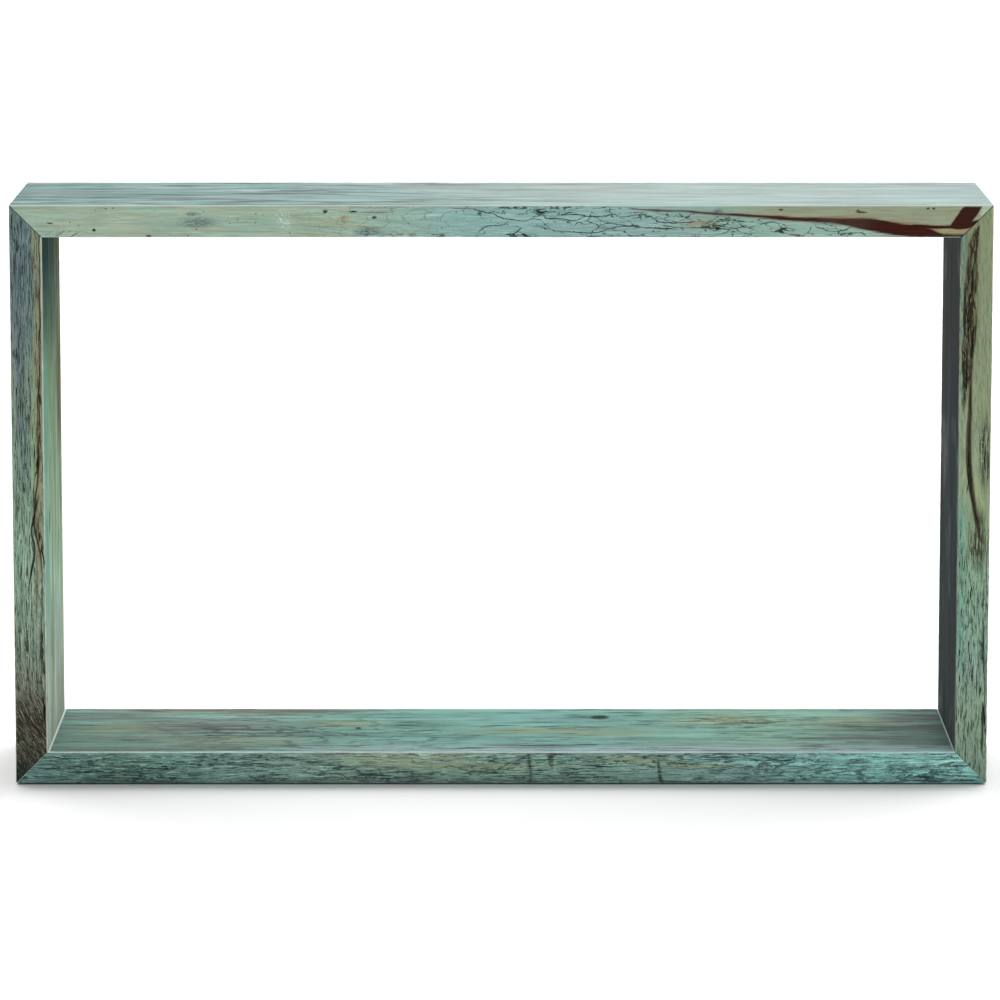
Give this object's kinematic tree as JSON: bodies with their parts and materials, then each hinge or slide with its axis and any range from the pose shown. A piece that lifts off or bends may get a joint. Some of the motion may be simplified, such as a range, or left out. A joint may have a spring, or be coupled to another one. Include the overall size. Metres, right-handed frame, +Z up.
{
  "type": "console table",
  "caption": "Open frame console table of thick mitred boards in blue-green dyed spalted wood with a clear semi-gloss finish.",
  "frame": {"origin": "on the floor under the middle of the table", "axes": "+X along the width to the right as seen from the front, +Y from front to back, +Z up"},
  "size_m": [1.524, 0.356, 0.914],
  "materials": {
    "top_wood": "clear semi-gloss over dyed spalted wood",
    "bottom_wood": "clear semi-gloss over dyed spalted wood",
    "left_wood": "clear semi-gloss over dyed spalted wood",
    "right_wood": "clear semi-gloss over dyed spalted wood",
    "tenon_beech": "bare compressed beech",
    "glide_nylon": "moulded, scuffed on the floor face",
    "screw_steel": "bright zinc plate"
  },
  "bodies": {
    "root": {"top_board": "top_wood", "bottom_board": "bottom_wood", "left_side_board": "left_wood", "right_side_board": "right_wood", "tenon_top_left_1": "tenon_beech", "tenon_top_left_2": "tenon_beech", "tenon_top_left_3": "tenon_beech", "tenon_top_left_4": "tenon_beech", "tenon_top_right_1": "tenon_beech", "tenon_top_right_2": "tenon_beech", "tenon_top_right_3": "tenon_beech", "tenon_top_right_4": "tenon_beech", "tenon_bottom_left_1": "tenon_beech", "tenon_bottom_left_2": "tenon_beech", "tenon_bottom_left_3": "tenon_beech", "tenon_bottom_left_4": "tenon_beech", "tenon_bottom_right_1": "tenon_beech", "tenon_bottom_right_2": "tenon_beech", "tenon_bottom_right_3": "tenon_beech", "tenon_bottom_right_4": "tenon_beech", "glide_front_left": "glide_nylon", "glide_front_right": "glide_nylon", "glide_rear_left": "glide_nylon", "glide_rear_right": "glide_nylon", "glide_screw_front_left": "screw_steel", "glide_screw_front_right": "screw_steel", "glide_screw_rear_left": "screw_steel", "glide_screw_rear_right": "screw_steel"}
  },
  "joints": []
}
